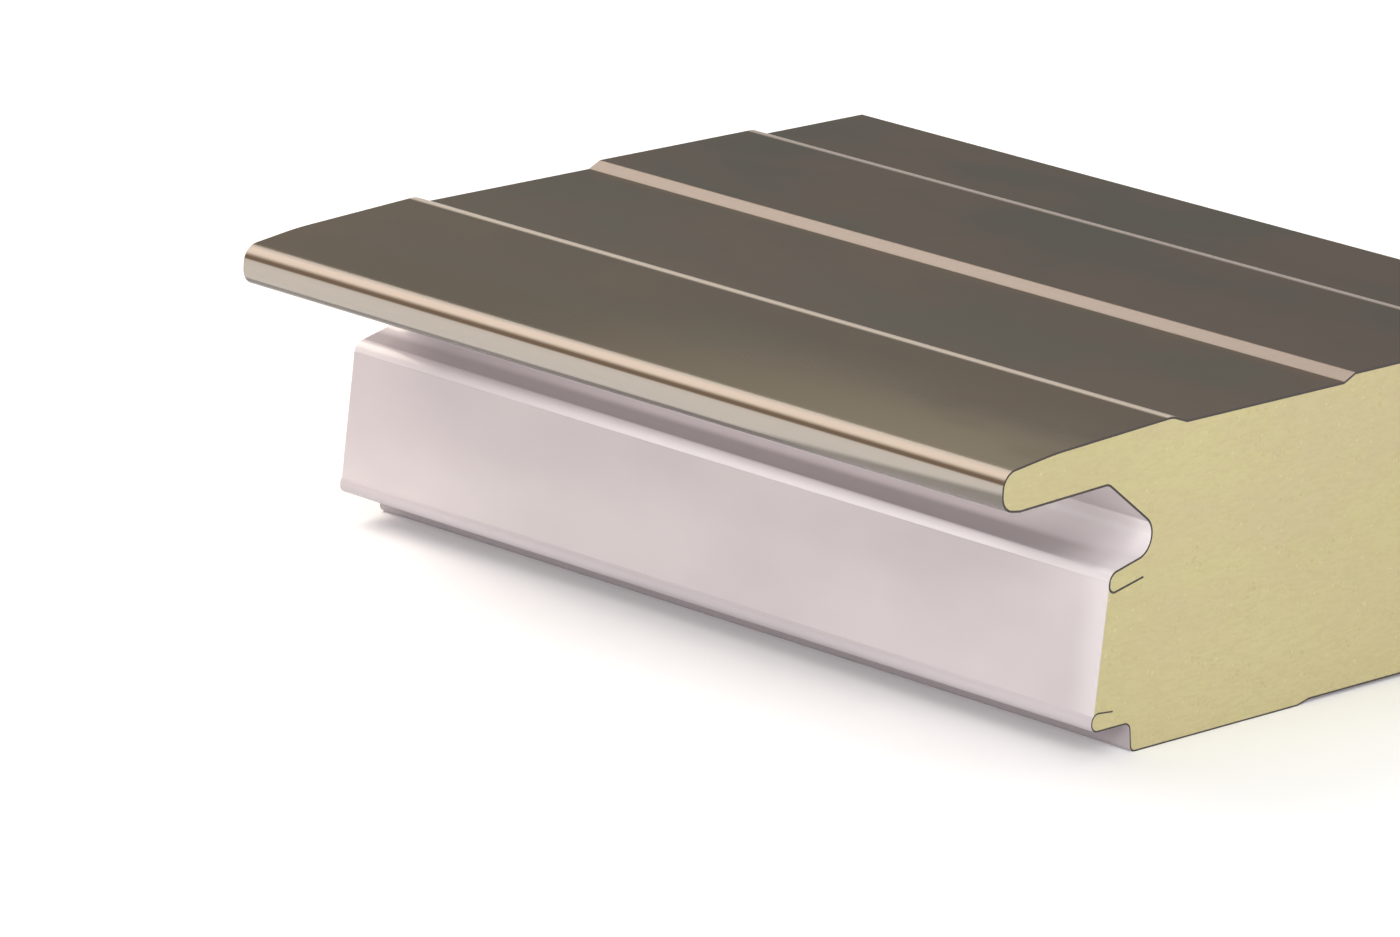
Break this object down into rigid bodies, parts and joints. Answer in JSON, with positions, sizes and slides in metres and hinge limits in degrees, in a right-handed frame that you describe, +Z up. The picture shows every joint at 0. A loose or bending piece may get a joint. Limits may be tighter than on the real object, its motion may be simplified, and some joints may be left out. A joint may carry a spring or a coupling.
{
  "type": "insulated wall panel",
  "caption": "Insulated wall panel with steel faces, a yellow foam core, a nose and groove along one edge, and a ledge and tongue along the other.",
  "frame": {"origin": "bottom centre of the panel's bounding box, with the panel lying flat, weather face up", "axes": "+X from the nose edge towards the tongue edge, +Y along the panel away from the cut end that faces the viewer, +Z up through the thickness"},
  "size_m": [0.3454, 0.31, 0.1],
  "materials": {
    "outer_paint": "satin",
    "inner_paint": "satin",
    "foam": "matte",
    "foil": "satin",
    "gasket": "matte"
  },
  "bodies": {
    "root": {"outer_sheet": "outer_paint", "inner_sheet": "inner_paint", "insulation_core": "foam", "nose_side_foil": "foil", "tongue_side_foil": "foil", "joint_gasket": "gasket"}
  },
  "joints": []
}
